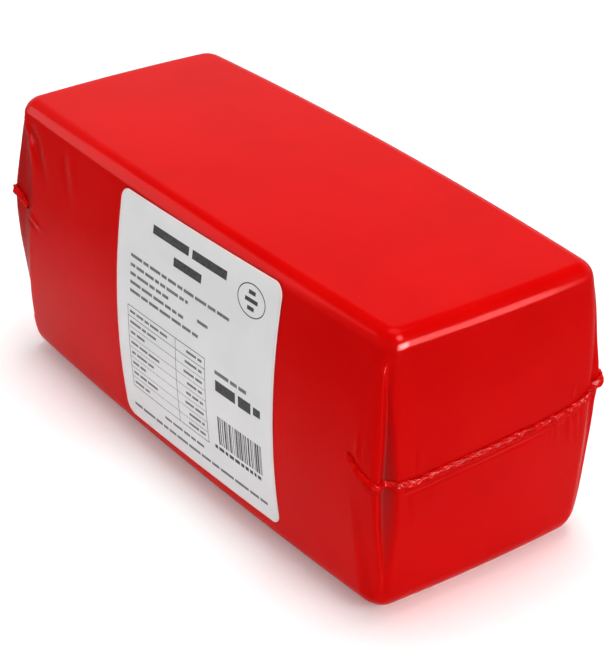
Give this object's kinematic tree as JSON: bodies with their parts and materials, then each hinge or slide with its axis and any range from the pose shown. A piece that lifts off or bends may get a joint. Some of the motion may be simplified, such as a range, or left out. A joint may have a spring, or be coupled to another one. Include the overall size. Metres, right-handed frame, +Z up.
{
  "type": "edam cheese block",
  "caption": "Long bar of edam cheese in tight glossy red film, with a plain pale label on one side and a welded seal across each end.",
  "frame": {"origin": "middle of the flat long face that the bar rests on", "axes": "+X along the bar, towards the end whose seal lies nearer to mid-height; the label is on the -Y side; +Z up"},
  "size_m": [0.2484, 0.1102, 0.1132],
  "materials": {
    "red_film": "glossy opaque red shrink film, drawn tight over the cheese",
    "label_paper": "pale grey self-adhesive label with a satin face and grey print fields"
  },
  "bodies": {
    "root": {"wrapped_bar": "red_film", "label": "label_paper"}
  },
  "joints": []
}
